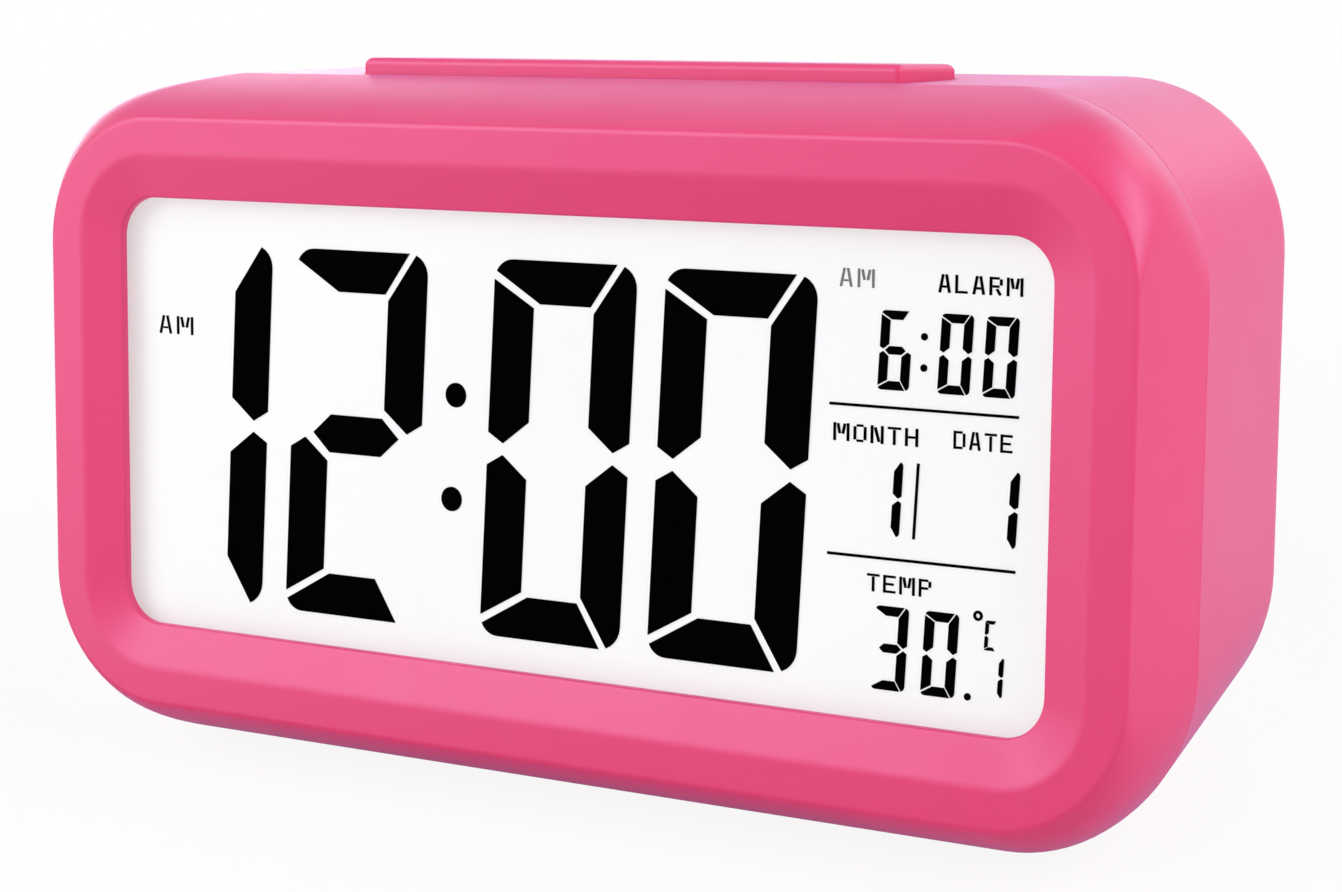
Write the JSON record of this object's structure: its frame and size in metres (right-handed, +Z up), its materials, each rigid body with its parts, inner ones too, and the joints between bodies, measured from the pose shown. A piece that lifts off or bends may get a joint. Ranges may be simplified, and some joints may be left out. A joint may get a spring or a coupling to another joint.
{
  "type": "digital alarm clock",
  "caption": "Pink leaning desk alarm clock with a large segment display, a snooze bar on top and keys and a battery door behind",
  "frame": {"origin": "middle of the clock's box, on the table that it stands on", "axes": "+X to the right as one reads the display, +Y from the display towards the back, +Z up"},
  "size_m": [0.135, 0.0598, 0.0739],
  "materials": {
    "pink_plastic": "satin moulded ABS",
    "dark_plastic": "moulded",
    "clear_lens": "polished clear acrylic",
    "display_glass": "liquid crystal glass with a pale film",
    "segment_black": "darkened liquid crystal",
    "white_film": "milky film",
    "clear_guide": "clear acrylic",
    "white_plastic": "moulded",
    "circuit_board": "green solder mask on glass fibre",
    "lamp_cream": "moulded lamps",
    "steel": "nickel-plated",
    "contact_rubber": "layered conductive rubber",
    "chip_black": "epoxy",
    "capacitor_blue": "shrunk sleeve",
    "bead_amber": "dipped bead",
    "ribbon_grey": "flat cable",
    "brass_disc": "rolled",
    "ceramic_white": "silvered ceramic",
    "battery_sleeve": "plain printed sleeve",
    "red_wire": "soft sleeve",
    "black_wire": "soft sleeve"
  },
  "bodies": {
    "case": {"front_shell": "pink_plastic", "rear_shell": "pink_plastic", "key_switches": "dark_plastic", "snooze_switch": "dark_plastic", "display_lens": "clear_lens", "lcd_panel": "display_glass", "lcd_segments": "segment_black", "diffuser_sheet": "white_film", "light_guide": "clear_guide", "backlight_tray": "white_plastic", "ribbon_sockets": "white_plastic", "led_board": "circuit_board", "main_board": "circuit_board", "key_board": "circuit_board", "snooze_board": "circuit_board", "backlight_leds": "lamp_cream", "led_pins": "steel", "quartz_crystal": "steel", "alarm_switch": "steel", "contact_plates": "steel", "contact_springs": "steel", "case_screws": "steel", "tray_screws": "steel", "board_screws": "steel", "key_board_screws": "steel", "snooze_board_screws": "steel", "zebra_strip": "contact_rubber", "controller_chip": "chip_black", "chip_resistors": "chip_black", "capacitors": "capacitor_blue", "thermistor": "bead_amber", "ribbon_cable": "ribbon_grey", "sounder_disc": "brass_disc", "sounder_crystal": "ceramic_white", "battery_top": "battery_sleeve", "battery_middle": "battery_sleeve", "battery_bottom": "battery_sleeve", "battery_lead_red": "red_wire", "battery_lead_black": "black_wire", "snooze_leads": "black_wire", "sounder_leads": "black_wire"},
    "snooze": {"snooze_bar": "pink_plastic", "snooze_plunger": "dark_plastic"},
    "mode_key": {"mode_button": "pink_plastic", "mode_plunger": "dark_plastic"},
    "set_key": {"set_button": "pink_plastic", "set_plunger": "dark_plastic"},
    "up_key": {"up_button": "pink_plastic", "up_plunger": "dark_plastic"},
    "down_key": {"down_button": "pink_plastic", "down_plunger": "dark_plastic"},
    "alarm_slide": {"alarm_knob": "dark_plastic"},
    "door": {"battery_door": "pink_plastic"}
  },
  "joints": [
    {"name": "snooze_press", "type": "slide", "parent": "case", "child": "snooze", "axis": [0, -0.2419, -0.9703], "range_m": [0, 0.0008], "stiffness_N_per_m": 600, "springref_m": -0.0005},
    {"name": "mode_press", "type": "slide", "parent": "case", "child": "mode_key", "axis": [0, -0.9703, 0.2419], "range_m": [0, 0.0006], "stiffness_N_per_m": 200, "springref_m": -0.0005},
    {"name": "set_press", "type": "slide", "parent": "case", "child": "set_key", "axis": [0, -0.9703, 0.2419], "range_m": [0, 0.0006], "stiffness_N_per_m": 200, "springref_m": -0.0005},
    {"name": "up_press", "type": "slide", "parent": "case", "child": "up_key", "axis": [0, -0.9703, 0.2419], "range_m": [0, 0.0006], "stiffness_N_per_m": 200, "springref_m": -0.0005},
    {"name": "down_press", "type": "slide", "parent": "case", "child": "down_key", "axis": [0, -0.9703, 0.2419], "range_m": [0, 0.0006], "stiffness_N_per_m": 200, "springref_m": -0.0005},
    {"name": "alarm_switch_slide", "type": "slide", "parent": "case", "child": "alarm_slide", "axis": [1, 0, 0], "range_m": [0, 0.003]},
    {"name": "door_hinge", "type": "hinge", "parent": "case", "child": "door", "pos_m": [0, 0.01515, 0.00602], "axis": [-1, 0, 0], "range_deg": [0, 85]}
  ]
}
